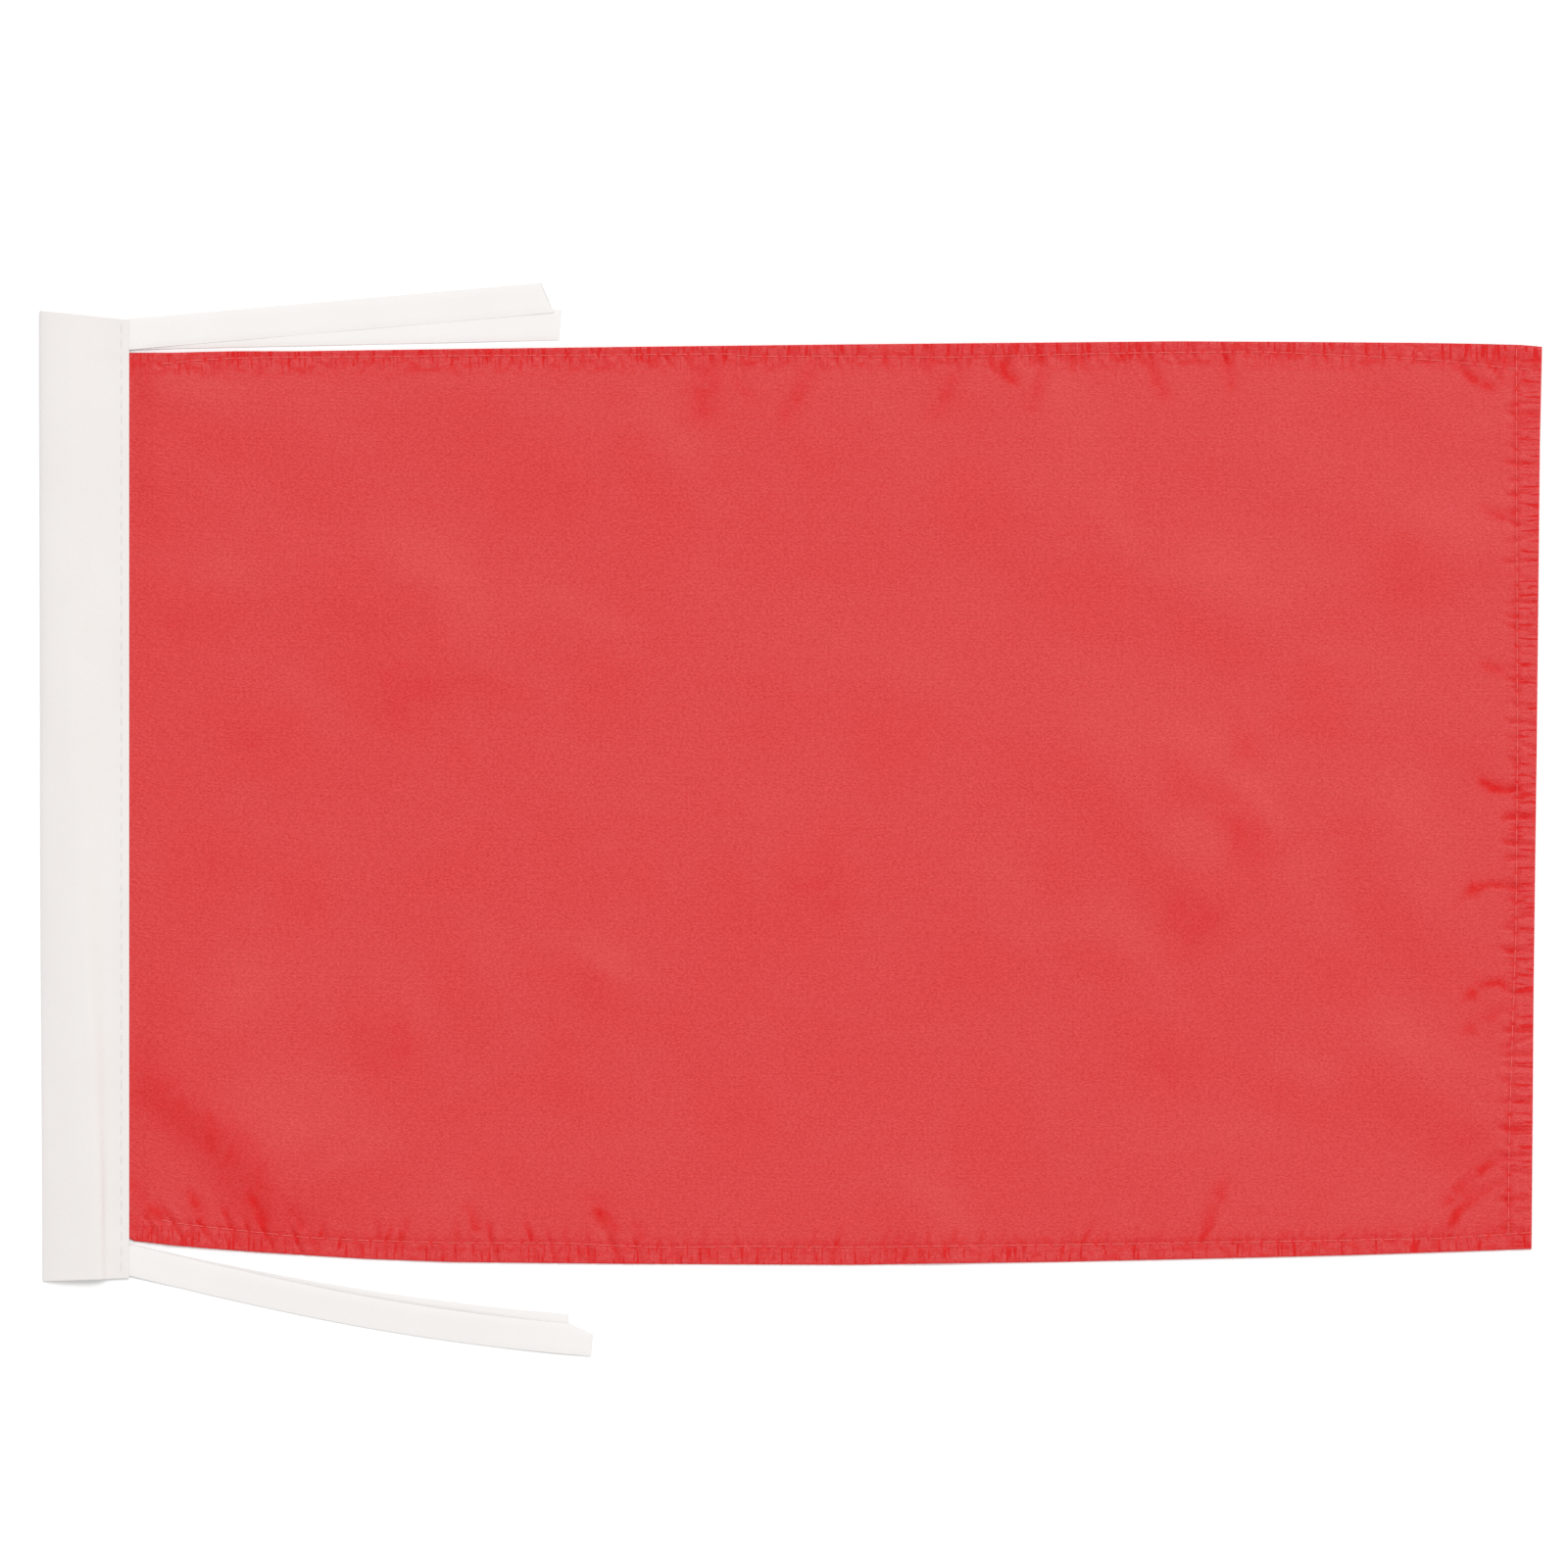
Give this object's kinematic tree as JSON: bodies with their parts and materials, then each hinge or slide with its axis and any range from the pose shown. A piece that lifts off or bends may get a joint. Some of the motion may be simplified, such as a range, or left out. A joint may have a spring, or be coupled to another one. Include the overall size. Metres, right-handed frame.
{
  "type": "cloth flag with ties",
  "caption": "Plain rectangular cloth flag laid flat, hemmed on its free sides, with a folded tape heading along the hoist and tape ties at the heading's ends.",
  "frame": {"origin": "middle of the heading's flat back, on the surface that the flag lies on", "axes": "+X from the heading to the fly end, +Y up the hoist, +Z out of the flag's front"},
  "size_m": [0.4871, 0.3476, 0.0056],
  "materials": {
    "red_cloth": "matt woven polyester with a slight satin sheen",
    "white_tape": "matt close-woven polyester tape",
    "red_thread": "satin spun polyester thread",
    "white_thread": "satin spun polyester thread"
  },
  "bodies": {
    "heading": {"heading": "white_tape", "field_hoist_edge": "red_cloth", "tie_top_fold": "white_tape", "tie_bottom_fold": "white_tape", "heading_needle_thread": "white_thread", "heading_bobbin_thread": "white_thread"},
    "field": {"field": "red_cloth", "top_hem_needle_thread": "red_thread", "top_hem_bobbin_thread": "red_thread", "bottom_hem_needle_thread": "red_thread", "bottom_hem_bobbin_thread": "red_thread", "fly_hem_needle_thread": "red_thread", "fly_hem_bobbin_thread": "red_thread"},
    "tie_top_front": {"tie_top_front_tail": "white_tape"},
    "tie_top_back": {"tie_top_back_tail": "white_tape"},
    "tie_bottom_front": {"tie_bottom_front_tail": "white_tape"},
    "tie_bottom_back": {"tie_bottom_back_tail": "white_tape"}
  },
  "joints": [
    {"name": "field_fold", "type": "hinge", "parent": "heading", "child": "field", "pos_m": [0.0186, 0, 0.00075], "axis": [0, -1, 0], "range_deg": [-160, 140]},
    {"name": "tie_top_front_fold", "type": "hinge", "parent": "heading", "child": "tie_top_front", "pos_m": [0.0186, 0.15, 0.00075], "axis": [0, -1, 0], "range_deg": [0, 145]},
    {"name": "tie_top_back_fold", "type": "hinge", "parent": "heading", "child": "tie_top_back", "pos_m": [0.0186, 0.15, 0.00015], "axis": [0, -1, 0], "range_deg": [-160, 0]},
    {"name": "tie_bottom_front_fold", "type": "hinge", "parent": "heading", "child": "tie_bottom_front", "pos_m": [0.0186, -0.15, 0.00075], "axis": [0, -1, 0], "range_deg": [0, 145]},
    {"name": "tie_bottom_back_fold", "type": "hinge", "parent": "heading", "child": "tie_bottom_back", "pos_m": [0.0186, -0.15, 0.00015], "axis": [0, -1, 0], "range_deg": [-160, 0]}
  ]
}
